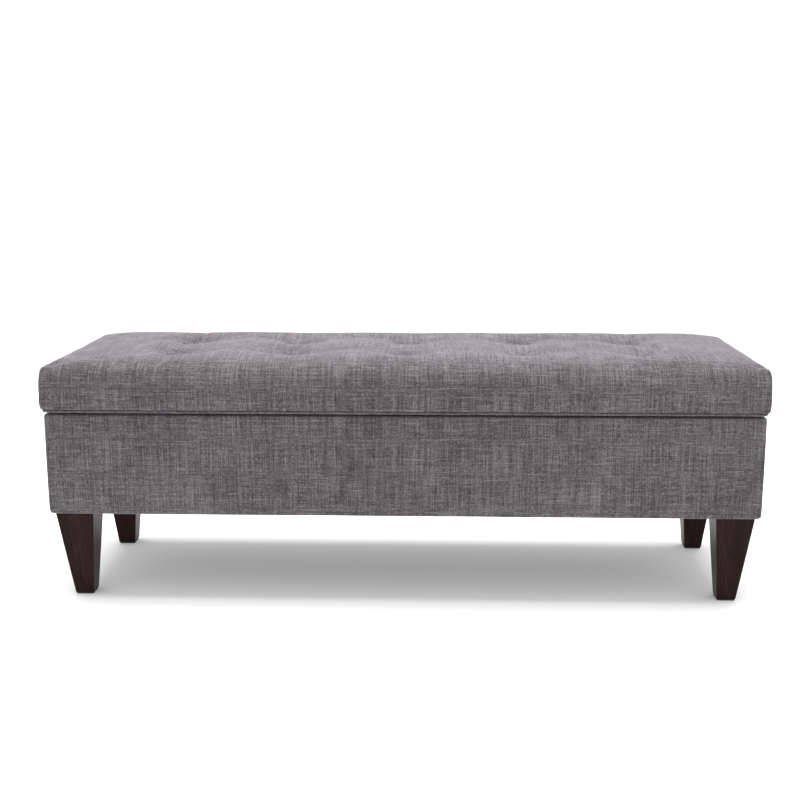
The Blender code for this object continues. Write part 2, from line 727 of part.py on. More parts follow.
def build_stay(side, sign, hinge):
    """Soft-closing lid stay: base plate, damper, two arms and the bracket under the lid."""
    base = Vector((0, *STAY_BASE_PIVOT))
    elbow = Vector((0, *STAY_ELBOW))
    base_axis = axis_empty("stay_base_axis_" + side, base)
    elbow_axis = axis_empty("stay_elbow_axis_" + side, elbow)

    half = Vector((STAY_PLATE_WIDTH, STAY_PLATE_HEIGHT)) / 2
    plate = [STAY_BASE_PIVOT + p for p in rounded_rectangle(half, STAY_PLATE_CORNER, 3)]
    stay_plate("stay_base_plate_" + side, [plate], sign, 0)

    lower_loops = [
        link_outline(STAY_BASE_PIVOT, STAY_ELBOW, STAY_ARM_WIDTH),
        circle(STAY_BASE_PIVOT, STAY_SHAFT_HOLE),
    ]
    lower = stay_plate("stay_lower_arm_" + side, lower_loops, sign, 1, base_axis)
    upper_loops = [
        link_outline(STAY_ELBOW, STAY_LID_PIVOT, STAY_ARM_WIDTH),
        circle(STAY_ELBOW, STAY_RIVET_HOLE),
    ]
    upper = stay_plate("stay_upper_arm_" + side, upper_loops, sign, 2, elbow_axis)
    for arm, layer, pivot, axis in (
        (lower, 1, STAY_ELBOW, base_axis), (upper, 2, STAY_LID_PIVOT, elbow_axis),
    ):
        for solid in rivet(arm.name + "_rivet", sign, layer, pivot, axis):
            boolean(arm, solid, "UNION")

    start = layer_span(sign, 1)[0]
    drum = layer_span(sign, 1)[1] - sign * GAP
    shaft = abs(start - drum)
    profile = [
        (0, shaft), (STAY_SHAFT_RADIUS, shaft), (STAY_SHAFT_RADIUS, 0),
        (STAY_DAMPER_RADIUS, 0), (STAY_DAMPER_RADIUS, 0.002 - STAY_DAMPER_LENGTH),
        (STAY_DAMPER_RADIUS - 0.002, -STAY_DAMPER_LENGTH), (0, -STAY_DAMPER_LENGTH),
    ]
    axis = "X" if sign > 0 else "-X"
    turned("stay_damper_" + side, profile, "black_plastic", (drum, *STAY_BASE_PIVOT), axis)

    build_lid_bracket(side, sign, hinge)


def build_lid_bracket(side, sign, hinge):
    """Angle bracket under the lid, with an ear that the stay's upper arm is riveted to."""
    outer, inner = layer_span(sign, 3)
    name = "stay_lid_bracket_" + side
    y, z = STAY_LID_PIVOT
    flange_top = LID_BOTTOM - GAP
    flange_bottom = flange_top - STAY_LAYER
    ear = link_outline(STAY_LID_PIVOT, Vector((y, flange_top - STAY_ARM_WIDTH / 2)), STAY_ARM_WIDTH)
    bracket = stay_plate(name, [ear, circle(STAY_LID_PIVOT, STAY_RIVET_HOLE)], sign, 3, hinge)
    bm = bmesh.new()
    edges = sorted((outer, outer - sign * STAY_BRACKET_REACH))
    half = STAY_BRACKET_LENGTH / 2
    add_box(bm, (edges[0], y - half, flange_bottom), (edges[1], y + half, flange_top))
    flange = helper_solid(name + "_flange", to_mesh(name + "_flange", bm), (0, 0, 0), hinge)
    boolean(bracket, flange, "UNION")


def build_bumpers():
    """Rubber bumpers on the front rim that the closed lid comes down on."""
    for side, sign in SIDES:
        bottom = BODY_TOP + GAP
        profile = [
            (0, BUMPER_HEIGHT), (BUMPER_RADIUS * 0.7, BUMPER_HEIGHT),
            (BUMPER_RADIUS, BUMPER_HEIGHT * 0.6), (BUMPER_RADIUS, 0), (0, 0),
        ]
        turned("lid_bumper_" + side, profile, "black_rubber", (sign * BUMPER_X, BUMPER_Y, bottom))


# ------------------------------------------------------------------------- build


def build_bench():
    """Every piece of the bench, with the lid closed."""
    for corner, sign_x, sign_y in CORNERS:
        build_leg(corner, sign_x, sign_y)
    build_panels()
    build_body_cover()
    build_linings()
    hinge = axis_empty("lid_hinge_axis", HINGE_AXIS)
    build_lid(hinge)
    build_buttons(hinge)
    build_hinge(hinge)
    for side, sign in SIDES:
        build_stay(side, sign, hinge)
    build_bumpers()
    bpy.context.view_layer.update()


build_bench()
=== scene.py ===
"""Looks of the upholstered storage bench: cushion, covers, buttons, piping, hardware and finishes.

Metres, +Z up. X runs along the bench and the front faces -Y. Every place comes from the frame.
"""

import json
import math

import bmesh
import bpy
import numpy as np
from mathutils import Matrix, Vector, noise


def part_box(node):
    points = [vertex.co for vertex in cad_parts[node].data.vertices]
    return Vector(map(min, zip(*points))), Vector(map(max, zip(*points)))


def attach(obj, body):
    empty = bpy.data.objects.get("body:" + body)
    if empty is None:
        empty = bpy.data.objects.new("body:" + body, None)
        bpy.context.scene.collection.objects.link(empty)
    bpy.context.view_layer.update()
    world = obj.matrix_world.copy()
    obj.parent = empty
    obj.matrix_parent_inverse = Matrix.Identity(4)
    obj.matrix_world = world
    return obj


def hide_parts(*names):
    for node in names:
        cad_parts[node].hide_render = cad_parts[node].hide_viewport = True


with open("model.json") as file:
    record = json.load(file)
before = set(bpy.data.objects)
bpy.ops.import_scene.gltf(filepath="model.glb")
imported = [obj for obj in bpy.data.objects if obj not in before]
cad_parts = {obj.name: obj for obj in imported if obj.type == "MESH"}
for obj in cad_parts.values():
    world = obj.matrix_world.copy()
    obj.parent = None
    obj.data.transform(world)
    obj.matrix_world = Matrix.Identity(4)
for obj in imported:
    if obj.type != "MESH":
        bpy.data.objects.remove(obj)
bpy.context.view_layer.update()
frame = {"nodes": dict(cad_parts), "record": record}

# ------------------------------------------------------------- places from the frame

BODY_LOW, BODY_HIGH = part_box("body_cover")
LID_LOW, LID_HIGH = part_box("lid_cover")
PIPING_LOW, PIPING_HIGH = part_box("lid_piping")
BOARD_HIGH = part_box("lid_board")[1]
LID_LINING_LOW, LID_LINING_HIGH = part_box("lid_lining")
LINING_LOW, LINING_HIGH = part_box("compartment_lining")
DUST_LOW, DUST_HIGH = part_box("dust_cover")
BUTTON_NODES = [name for name in frame["nodes"] if name.startswith("tuft_button")]


def middle(node):
    """Centre of a CAD node's box."""
    low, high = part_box(node)
    return (low + high) / 2


BUTTON_CENTRES = [middle(name).xy for name in BUTTON_NODES]

# ------------------------------------------------------------------------- materials


class Graph:
    """Small helper that adds and links shader nodes of one material."""

    def __init__(self, name):
        self.material = bpy.data.materials.new(name)
        self.material.use_nodes = True
        self.tree = self.material.node_tree
        self.shader = self.tree.nodes["Principled BSDF"]

    def add(self, kind, settings=None, **inputs):
        """Node of that kind; an input is a number, a colour or another node's socket."""
        node = self.tree.nodes.new("ShaderNode" + kind)
        for key, value in (settings or {}).items():
            setattr(node, key, value)
        for key, value in inputs.items():
            self.set(node, key.replace("_", " "), value)
        return node

    def set(self, node, key, value):
        """Link a socket to an input, or set the input's own value."""
        socket = node.inputs[int(key)] if key.isdigit() else node.inputs[key]
        if isinstance(value, bpy.types.NodeSocket):
            self.tree.links.new(value, socket)
        else:
            socket.default_value = value

    def maths(self, operation, a, b=0.0, clamp=False):
        """Result of one sum on two values."""
        node = self.add("Math", {"operation": operation, "use_clamp": clamp})
        self.set(node, "0", a)
        self.set(node, "1", b)
        return node.outputs[0]

    def stretch(self, vector, scale, offset=(0, 0, 0)):
        """Vector scaled and moved, to draw a pattern out along one direction."""
        node = self.add("Mapping")
        self.set(node, "Vector", vector)
        self.set(node, "Scale", scale)
        self.set(node, "Location", offset)
        return node.outputs[0]

    def noise(self, vector, scale=1.0, detail=2.0, roughness=0.5):
        """Smooth random value between 0 and 1."""
        node = self.add("TexNoise")
        for key, value in (("Vector", vector), ("Scale", scale), ("Detail", detail)):
            self.set(node, key, value)
        self.set(node, "Roughness", roughness)
        return node.outputs["Fac"]

    def ramp(self, value, *stops):
        """Colour ramp through (position, colour) stops."""
        node = self.add("ValToRGB")
        self.set(node, "Fac", value)
        ramp = node.color_ramp
        while len(ramp.elements) < len(stops):
            ramp.elements.new(0.5)
        for element, (position, colour) in zip(ramp.elements, stops):
            element.position = position
            element.color = (*colour, 1.0)
        return node.outputs["Color"]

    def mix(self, factor, a, b, blend="MIX"):
        """Two colours mixed."""
        node = self.add("Mix", {"data_type": "RGBA", "blend_type": blend})
        self.tree.nodes.update()
        for index, value in ((0, factor), (6, a), (7, b)):
            if isinstance(value, bpy.types.NodeSocket):
                self.tree.links.new(value, node.inputs[index])
            else:
                node.inputs[index].default_value = value
        return node.outputs[2]

    def bump(self, height, distance, strength=1.0, normal=None):
        """Normal tilted by a height, on top of another normal if one is given."""
        node = self.add("Bump")
        self.set(node, "Height", height)
        self.set(node, "Distance", distance)
        self.set(node, "Strength", strength)
        if normal is not None:
            self.set(node, "Normal", normal)
        return node.outputs["Normal"]

    def finish(self, **inputs):
        """Set the shader's inputs and return the material."""
        for key, value in inputs.items():
            self.set(self.shader, key.replace("_", " "), value)
        return self.material


YARN_MEAN = 2.40  # of the summed noises below
YARN_CONTRAST = 1.7
DARK_YARN, MIDDLE_YARN, LIGHT_YARN = 0.032, 0.0915, 0.182  # how light each is


def linen(name, turn=0.0):
    """Heathered woven cloth: light and dark yarns both ways, with slubs drawn out along them."""
    g = Graph(name)
    cloth = g.add("UVMap", {"uv_map": "weave"}).outputs["UV"]
    if turn:
        turned = g.add("Mapping")
        g.set(turned, "Vector", cloth)
        g.set(turned, "Rotation", (0, 0, turn))
        cloth = turned.outputs[0]
    weft = g.noise(g.stretch(cloth, (26, 480, 1)), detail=3, roughness=0.7)
    warp = g.noise(g.stretch(cloth, (480, 13, 1), (3.1, 1.7, 5)), detail=3, roughness=0.7)
    fine_weft = g.noise(g.stretch(cloth, (130, 900, 1), (0, 0, 9)), detail=1)
    fine_warp = g.noise(g.stretch(cloth, (900, 130, 1), (0, 0, 12)), detail=1)
    slub = g.noise(g.stretch(cloth, (18, 260, 1), (7, 2, 15)), detail=1)
    slub = g.maths("MULTIPLY", g.maths("SUBTRACT", slub, 0.60, True), 1.6)
    yarns = g.maths("ADD", g.maths("ADD", weft, g.maths("MULTIPLY", warp, 1.15)), slub)
    fine = g.maths("ADD", fine_weft, fine_warp)
    broad_weft = g.noise(g.stretch(cloth, (4, 170, 1), (4, 8, 30)), detail=2)
    broad_warp = g.noise(g.stretch(cloth, (170, 4, 1), (9, 3, 33)), detail=2)
    broad = g.maths("ADD", broad_weft, broad_warp)
    mottle = g.maths("ADD", g.noise(cloth, scale=24, detail=3), g.noise(cloth, scale=6, detail=1))
    shade = g.maths("ADD", yarns, g.maths("MULTIPLY", fine, 0.75))
    shade = g.maths("ADD", shade, g.maths("MULTIPLY", mottle, 0.24))
    shade = g.maths("ADD", shade, g.maths("MULTIPLY", broad, 0.32))
    shade = g.maths("SUBTRACT", shade, YARN_MEAN)
    shade = g.maths("MULTIPLY_ADD", shade, YARN_CONTRAST)
    shade.node.inputs[2].default_value = 0.5
    dark, mid, light = DARK_YARN, MIDDLE_YARN, LIGHT_YARN
    grey = g.ramp(
        shade, (0.0, (dark, dark * 0.90, dark * 0.935)), (0.5, (mid, mid * 0.90, mid * 0.94)),
        (1.0, (light, light * 0.945, light * 0.975)),
    )
    tint = g.ramp(
        g.noise(g.stretch(cloth, (24, 60, 1), (2, 5, 21)), detail=2),
        (0.36, (0.975, 1.0, 0.985)), (0.5, (1, 1, 1)), (0.64, (1.025, 0.985, 1.015)),
    )
    colour = g.mix(1.0, grey, tint, "MULTIPLY")
    height = g.maths("ADD", yarns, fine)
    normal = g.bump(height, 0.0006, 0.5)
    return g.finish(
        Base_Color=colour, Roughness=0.92, Normal=normal, Specular_IOR_Level=0.25,
        Sheen_Weight=0.30, Sheen_Roughness=0.45, Sheen_Tint=(0.76, 0.73, 0.86, 1),
    )


def stained_wood():
    """Espresso stain over straight upright grain, under satin lacquer."""
    g = Graph("espresso_wood")
    place = g.add("TexCoord").outputs["Object"]
    grain = g.noise(g.stretch(place, (210, 210, 7)), detail=5, roughness=0.6)
    bands = g.noise(g.stretch(place, (34, 34, 3), (3, 1, 0)), detail=2)
    pores = g.noise(g.stretch(place, (900, 900, 30)), detail=1)
    mixed = g.maths("ADD", g.maths("MULTIPLY", grain, 0.65), g.maths("MULTIPLY", bands, 0.35))
    colour = g.ramp(
        mixed, (0.33, (0.0085, 0.0027, 0.0031)), (0.50, (0.0165, 0.0060, 0.0066)),
        (0.68, (0.0300, 0.0130, 0.0132)),
    )
    rough = g.ramp(mixed, (0.3, (0.30, 0.30, 0.30)), (0.7, (0.42, 0.42, 0.42)))
    height = g.maths("ADD", grain, g.maths("MULTIPLY", pores, 0.5))
    return g.finish(
        Base_Color=colour, Roughness=rough, Normal=g.bump(height, 0.0003, 0.25),
        Specular_IOR_Level=0.07, Coat_Weight=0.02, Coat_Roughness=0.22,
    )


def plywood():
    """Pale unfinished wood of the panels and blocks."""
    g = Graph("panel_wood")
    place = g.add("TexCoord").outputs["Object"]
    grain = g.noise(g.stretch(place, (9, 120, 160)), detail=5, roughness=0.6)
    flame = g.noise(g.stretch(place, (2, 18, 26), (1, 4, 2)), detail=3)
    mixed = g.maths("ADD", g.maths("MULTIPLY", grain, 0.5), g.maths("MULTIPLY", flame, 0.5))
    colour = g.ramp(
        mixed, (0.32, (0.28, 0.175, 0.095)), (0.50, (0.44, 0.31, 0.19)), (0.68, (0.56, 0.43, 0.29)))
    return g.finish(Base_Color=colour, Roughness=0.72, Normal=g.bump(grain, 0.0004, 0.3))


def lining_cloth(name, level):
    """Dark spun-bonded cloth with a fine pressed pattern."""
    g = Graph(name)
    place = g.add("TexCoord").outputs["Object"]
    fibres = g.noise(place, scale=900, detail=3, roughness=0.7)
    clouds = g.noise(place, scale=14, detail=2)
    creases = g.noise(g.stretch(place, (5, 9, 9)), detail=3, roughness=0.4)
    dots = g.add("TexVoronoi", {"feature": "F1", "distance": "CHEBYCHEV"})
    g.set(dots, "Vector", place)
    g.set(dots, "Scale", 420)
    g.set(dots, "Randomness", 0.15)
    mixed = g.maths("ADD", g.maths("MULTIPLY", fibres, 0.7), g.maths("MULTIPLY", clouds, 0.3))
    colour = g.ramp(
        mixed, (0.35, (level * 0.6, level * 0.6, level * 0.62)),
        (0.65, (level * 1.5, level * 1.5, level * 1.6)),
    )
    height = g.maths("ADD", fibres, dots.outputs["Distance"])
    normal = g.bump(height, 0.0005, 0.4, g.bump(creases, 0.010, 0.35))
    return g.finish(
        Base_Color=colour, Roughness=0.9, Normal=normal, Specular_IOR_Level=0.2, Sheen_Weight=0.08)


def metal(name, colour, roughness, brushed=True):
    """Zinc-plated steel with a faint drawn grain and small scuffs."""
    g = Graph(name)
    place = g.add("TexCoord").outputs["Object"]
    stretch = (12, 600, 600) if brushed else (300, 300, 300)
    grain = g.noise(g.stretch(place, stretch), detail=3)
    scuffs = g.noise(place, scale=70, detail=4, roughness=0.7)
    shade = g.maths("ADD", g.maths("MULTIPLY", grain, 0.4), g.maths("MULTIPLY", scuffs, 0.6))
    dark = tuple(c * 0.82 for c in colour)
    rough = g.ramp(shade, (0.3, (roughness * 0.8,) * 3), (0.7, (roughness * 1.3,) * 3))
    return g.finish(
        Base_Color=g.ramp(shade, (0.3, dark), (0.65, colour)), Metallic=1.0, Roughness=rough,
        Normal=g.bump(grain, 0.0002, 0.15),
    )


def moulded(name, level, roughness, grain_scale=700):
    """Dark moulded plastic or rubber with a fine texture."""
    g = Graph(name)
    place = g.add("TexCoord").outputs["Object"]
    grain = g.noise(place, scale=grain_scale, detail=2)
    wear = g.noise(place, scale=60, detail=3)
    colour = g.ramp(wear, (0.35, (level * 0.8,) * 3), (0.65, (level * 1.3,) * 3))
    rough = g.ramp(wear, (0.35, (roughness * 0.9,) * 3), (0.65, (roughness * 1.1,) * 3))
    return g.finish(Base_Color=colour, Roughness=rough, Normal=g.bump(grain, 0.0003, 0.25))


def foam_finish():
    """Cream open-cell foam."""
    g = Graph("cushion_foam")
    place = g.add("TexCoord").outputs["Object"]
    cells = g.noise(place, scale=900, detail=2)
    colour = g.ramp(cells, (0.35, (0.60, 0.54, 0.40)), (0.65, (0.86, 0.82, 0.70)))
    return g.finish(Base_Color=colour, Roughness=0.9, Normal=g.bump(cells, 0.0006, 0.5))


LINEN = linen("grey_linen")
LINEN_BIAS = linen("grey_linen_bias", turn=math.radians(45))
LINING = lining_cloth("compartment_cloth", 0.020)
DUST_CLOTH = lining_cloth("underside_cloth", 0.014)
STEEL = metal("zinc_steel", (0.42, 0.42, 0.41), 0.38)
SCREW_STEEL = metal("screw_steel", (0.34, 0.33, 0.30), 0.34, brushed=False)
FINISHES = {
    "grey_linen": LINEN,
    "dark_wood": stained_wood(),
    "panel_wood": plywood(),
    "foam": foam_finish(),
    "black_cloth": LINING,
    "black_plastic": moulded("black_plastic", 0.014, 0.42),
    "black_rubber": moulded("black_rubber", 0.018, 0.75, 400),
    "zinc_steel": STEEL,
}


def dress_frame():
    """Give every CAD node the finish of its material slot."""
    for part in frame["record"]["subparts"]:
        node = frame["nodes"][part["node"]]
        node.data.materials.clear()
        node.data.materials.append(FINISHES[part["material_slot"]])
        node.data.shade_smooth()
        node.data.set_sharp_from_angle(angle=math.radians(32))


# --------------------------------------------------------------------- mesh helpers


def piece(name, bm, material, body, replaced=()):
    """Object from a bmesh, in the row frame, riding on a body."""
    mesh = bpy.data.meshes.new(name)
    bm.to_mesh(mesh)
    bm.free()
    mesh.materials.append(material)
    mesh.shade_smooth()
    obj = bpy.data.objects.new(name, mesh)
    bpy.context.scene.collection.objects.link(obj)
    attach(obj, body)
    if replaced:
        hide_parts(*replaced)
    return obj


def apply_subdivision(obj, levels=1):
    """One smoothing subdivision, applied."""
    modifier = obj.modifiers.new("smooth", "SUBSURF")
    modifier.levels = modifier.render_levels = levels
    modifier.uv_smooth = "PRESERVE_BOUNDARIES"
    depsgraph = bpy.context.evaluated_depsgraph_get()
    smooth = bpy.data.meshes.new_from_object(obj.evaluated_get(depsgraph))
    obj.modifiers.clear()
    obj.data = smooth


def sway(x, y, z, scale, seed):
    """Smooth random number between about -1 and 1 at a point."""
    return noise.noise(Vector((x * scale + seed, y * scale - seed, z * scale + 2 * seed)))


def rectangle_route(half, corner, straight_step, corner_steps=8):
    """Points round a rounded rectangle, counter-clockwise from the middle of its front."""
    count = max(2, round((half.x - corner) / straight_step))
    quarter = [(t / count * (half.x - corner), -half.y) for t in range(count)]
    for step in range(corner_steps):
        angle = -math.pi / 2 + step / corner_steps * math.pi / 2
        x = half.x - corner + corner * math.cos(angle)
        quarter.append((x, -half.y + corner + corner * math.sin(angle)))
    count = max(2, round((half.y - corner) / straight_step))
    quarter += [(half.x, -half.y + corner + t / count * (half.y - corner)) for t in range(count + 1)]
    right = quarter + [(x, -y) for x, y in reversed(quarter[:-1])]
    left = [(-x, y) for x, y in reversed(right[1:-1])]
    return [Vector(p) for p in right + left]


def loft_rings(bm, rings, closed_loop=False):
    """Faces between successive rings of equal length; returns the rings' vertices."""
    made = [[bm.verts.new(p) for p in ring] for ring in rings]
    pairs = list(zip(made, made[1:] + made[:1] if closed_loop else made[1:]))
    for lower, upper in pairs:
        for i in range(len(lower)):
            j = (i + 1) % len(lower)
            bm.faces.new((lower[i], lower[j], upper[j], upper[i]))
    return made


SEAM_REACH = 0.030  # faces this near an edge take their weave from the side they are on


def weave_uv(bm, half, top):
    """Cloth coordinates in metres: the weave runs over the top and straight down each face."""
    layer = bm.loops.layers.uv.new("weave")
    for face in bm.faces:
        centre = face.calc_center_median()
        near_end = abs(centre.x) > half.x - SEAM_REACH
        near_side = abs(centre.y) > half.y - SEAM_REACH
        on_end = near_end and (abs(face.normal.x) > abs(face.normal.y) or not near_side)
        for loop in face.loops:
            x, y, z = loop.vert.co
            drop = max(0.0, top - z)
            if on_end:
                x += math.copysign(drop, x)
            elif near_side:
                y += math.copysign(drop, y)
            loop[layer].uv = (x, y)


# ---------------------------------------------------------------------- lid cushion

# Section: sides up to the widest line, a rounded shoulder, then the crown
WIDEST_HEIGHT = 0.465
SHOULDER_RISE = 0.043
CROWN_RISE = 0.0182
CROWN_SPREAD = 0.055  # how far in from the edges the crown rises
LONG_SHOULDER = 0.0235  # width of the shoulder along the front and the rear
END_SHOULDER = 0.006  # and at the ends
SIDE_TUCK = 0.0050  # how far the side draws in at the piping

# Outline: the widest line, and the edge of the flat grid of the top inside it
OUTER = Vector((LID_HIGH.x + 0.0005, LID_HIGH.y + 0.001))
TOP_INSET = 0.027
TOP_EDGE = OUTER - Vector((TOP_INSET, TOP_INSET))
TOP_CORNER = 0.007
SIDE_CORNER = 0.010
CORNER_SEAM = 0.0015  # how far the sewn corners draw in
SEAM_START = 0.012  # they do so from this inset outwards

# Tufting
BUTTON_PULL = 0.0220
BUTTON_SEAT = 0.0105  # radius of the flat patch under a button
PULL_REACH = 0.25  # a button moves nothing further away
VALLEY_LENGTH = 0.080  # towards the front
RISE_BEHIND = 0.032  # towards the rear
DIMPLE_WIDTH = 0.021
DIMPLE_SPREAD = 0.25
FOLD_DEPTH = 0.0018
FOLD_REACH = 0.034
FOLD_START = 0.016
ROW_VALLEY = 0.0035
ROW_VALLEY_WIDTH = 0.030
ROW_VALLEY_PAST = 0.03  # how far the valley runs past the end buttons
ROW_VALLEY_FADE = 0.018

# Mesh, and the simulation that stuffs it
CUSHION_STEP = 0.0115
EDGE_LINES = (0.010, 0.0065, 0.0038, 0.0016, 0.0)
BUTTON_LINES = (-0.018, -0.0125, -0.0085, 0.0, 0.0085, 0.0125, 0.018)
LINE_GAP = 0.0045  # plain lines stay this far from a button's own
SHOULDER_INSETS = (0.0225, 0.018, 0.014, 0.0105, 0.0075, 0.005, 0.003, 0.0015, 0.0005, 0.0)
SIDE_ROWS = 6
HOLD_FIRM = 0.0135  # the cover is held fast this near a button
HOLD_END = 0.020  # and free beyond this
CLOTH_PRESSURE = 4.0
CLOTH_STIFFNESS = 20
CLOTH_FRAMES = 20
CLOTH_CAP = 0.005  # the furthest that the simulation may move a point


def tuft_pull(x, y):
    """How far the buttons and the lines between them pull the top down."""
    pull = 0.0
    for index, (bx, by) in enumerate(BUTTON_CENTRES):
        dx, dy = x - bx, y - by
        reach = math.hypot(dx, dy)
        if reach > PULL_REACH:
            continue
        angle = math.atan2(dy, dx)
        beyond = max(0.0, reach - BUTTON_SEAT) / max(reach, 0.000001)
        dx, dy = dx * beyond, dy * beyond
        fall = max(0.0, 1 - max(0.0, -dy) / VALLEY_LENGTH) ** 1.2
        fall *= math.exp(-max(0.0, dy) / RISE_BEHIND)
        soft = 0.006 + 0.2 * abs(dy)
        width = DIMPLE_WIDTH + DIMPLE_SPREAD * abs(dy)
        pull += BUTTON_PULL * fall * math.exp((soft - math.sqrt(dx * dx + soft * soft)) / width)
        folds = math.cos(7 * angle + index * 1.9) + 0.6 * math.cos(11 * angle + index * 2.7)
        fade = math.exp(-((reach / FOLD_REACH) ** 2)) * min(1.0, (reach / FOLD_START) ** 2)
        pull += FOLD_DEPTH * folds * fade
    row_end = max(abs(b.x) for b in BUTTON_CENTRES) + ROW_VALLEY_PAST
    along = 1 / (1 + math.exp((abs(x) - row_end) / ROW_VALLEY_FADE))
    for row in (-1, 1):
        dy = y - row * abs(BUTTON_CENTRES[0].y)
        pull += ROW_VALLEY * along * math.exp(-((dy / ROW_VALLEY_WIDTH) ** 2))
    return pull


def ellipse_rise(ratio):
    """Quarter ellipse: 0 at the edge, 1 from the shoulder inwards."""
    return math.sqrt(1 - (1 - min(1.0, max(0.0, ratio))) ** 2)


def top_height(x, y, shoulder=1.0):
    """Height of the cushion's skin above a point, from the widest line up to the crown."""
    spread = [
        1 - math.exp(-((max(0.0, inside) / CROWN_SPREAD) ** 1.5))
        for inside in (OUTER.x - abs(x), OUTER.y - abs(y))
    ]
    crown = CROWN_RISE * spread[0] * spread[1]
    ripple = 0.0009 * sway(x, y, 0, 9, 3.1) + 0.0004 * sway(x, y, 0, 28, 8.2)
    return WIDEST_HEIGHT + SHOULDER_RISE * shoulder + crown + (ripple - tuft_pull(x, y)) * shoulder


def side_inset(z, base):
    """How far the cushion's side is drawn in at a height, below its widest line."""
    rise = min(1.0, max(0.0, (z - base) / (WIDEST_HEIGHT - base)))
    return SIDE_TUCK * (1 - math.sin(rise * math.pi / 2))


def cushion_lines(half, marks):
    """Grid lines over the cushion's top, closer together at its edges and round the buttons."""
    edges = [half - d for d in EDGE_LINES]
    fine = {round(mark + step, 5) for mark in marks for step in BUTTON_LINES}
    plain = [
        line for line in grid_lines(half - 0.015, CUSHION_STEP)
        if min(abs(line - f) for f in fine) > LINE_GAP
    ]
    return [-e for e in reversed(edges)] + sorted(fine | set(plain)) + edges


def grid_lines(half, step):
    """Evenly spaced values from -half to half."""
    count = 2 * round(half / step)
    return [half * (2 * i / count - 1) for i in range(count + 1)]


def border_points(xs, ys):
    """Grid indices round the border, counter-clockwise from the front left corner."""
    last_x, last_y = len(xs) - 1, len(ys) - 1
    border = [(i, 0) for i in range(last_x)]
    border += [(last_x, j) for j in range(last_y)]
    border += [(last_x - i, last_y) for i in range(last_x)]
    border += [(0, last_y - j) for j in range(last_y)]
    return border


def round_corner(x, y, half, radius):
    """Pull a rectangle's border point onto the rectangle with round corners."""
    inner = Vector((half.x - radius, half.y - radius))
    core = Vector((max(-inner.x, min(inner.x, x)), max(-inner.y, min(inner.y, y))))
    away = Vector((x, y)) - core
    if away.length < 1e-9:
        return Vector((x, y))
    return core + away.normalized() * radius


def shoulder_rings():
    """(inset, corner radius) of the rings from the top's border out to the widest line."""
    return [
        (inset, TOP_CORNER + (SIDE_CORNER - TOP_CORNER) * (1 - inset / TOP_INSET))
        for inset in SHOULDER_INSETS
    ]


def on_corner(x, y):
    """Whether a border point is one of the cushion's four corners, where the cover is sewn."""
    return abs(x) > TOP_EDGE.x - 0.0001 and abs(y) > TOP_EDGE.y - 0.0001


def corner_tuck(x, y):
    """How the seam draws a corner in."""
    return CORNER_SEAM * Vector((math.copysign(1, x), math.copysign(1, y)))


def outline_spot(x, y, inset, corner):
    """Where a point of the top's edge comes to on a ring of that inset."""
    half = OUTER - Vector((inset, inset))
    return round_corner(x * half.x / TOP_EDGE.x, y * half.y / TOP_EDGE.y, half, corner)


def shoulder_spot(x, y, inset, corner):
    """Point on one ring of the shoulder."""
    spot = outline_spot(x, y, inset, corner)
    half = OUTER - Vector((inset, inset))
    core = Vector((max(-half.x + corner, min(half.x - corner, spot.x)), 0))
    toward_end = min(1.0, abs(spot.x - core.x) / corner) ** 2
    width = LONG_SHOULDER + (END_SHOULDER - LONG_SHOULDER) * toward_end
    z = top_height(spot.x, spot.y, ellipse_rise(inset / width))
    if on_corner(x, y) and inset < SEAM_START:
        spot -= corner_tuck(x, y)
    return (spot.x, spot.y, z)


def side_spot(x, y, inset, z, corner, wavy):
    """Point on one ring of the cushion's side or underside."""
    spot = outline_spot(x, y, inset, corner)
    if wavy and on_corner(x, y):
        spot -= corner_tuck(x, y)
    if wavy:
        spot *= 1 + 0.0008 * sway(spot.x, spot.y, z, 7, 5.5) / max(abs(spot.x), abs(spot.y))
    return (spot.x, spot.y, z)


def weight_held(place, base):
    """How firmly a point of the cover is held while it is stuffed: 1 at buttons and sewn edges."""
    if place.z < base + 0.004:
        return 1.0
    if place.z < WIDEST_HEIGHT:
        return 0.0
    nearest = min(math.hypot(place.x - b.x, place.y - b.y) for b in BUTTON_CENTRES)
    return max(0.0, min(1.0, (HOLD_END - nearest) / (HOLD_END - HOLD_FIRM)))


def swell_cloth(obj, held):
    """Stuff the cover by cloth simulation: it is blown up a little against its seams and buttons."""
    group = obj.vertex_groups.new(name="held")
    for index, weight in enumerate(held):
        if weight > 0:
            group.add([index], weight, "REPLACE")
    start = np.array([v.co for v in obj.data.vertices])
    cloth = obj.modifiers.new("stuffing", "CLOTH")
    settings = cloth.settings
    settings.vertex_group_mass = "held"
    settings.quality = 6
    settings.mass = 0.4
    settings.tension_stiffness = settings.compression_stiffness = CLOTH_STIFFNESS
    settings.shear_stiffness = 6
    settings.bending_stiffness = 0.6
    settings.use_pressure = True
    settings.uniform_pressure_force = CLOTH_PRESSURE
    settings.effector_weights.gravity = 0
    cloth.collision_settings.use_collision = False
    cloth.point_cache.frame_start, cloth.point_cache.frame_end = 1, CLOTH_FRAMES
    for number in range(1, CLOTH_FRAMES + 1):
        bpy.context.scene.frame_set(number)
    depsgraph = bpy.context.evaluated_depsgraph_get()
    stuffed = bpy.data.meshes.new_from_object(obj.evaluated_get(depsgraph))
    moved = np.array([v.co for v in stuffed.vertices]) - start
    length = np.maximum(np.linalg.norm(moved, axis=1, keepdims=True), 1e-9)
    moved *= np.minimum(1.0, CLOTH_CAP / length)
    obj.modifiers.clear()
    obj.data.vertices.foreach_set("co", (start + moved).ravel())
    obj.data.update()
    obj.vertex_groups.clear()
    bpy.data.meshes.remove(stuffed)
    bpy.context.scene.frame_set(1)


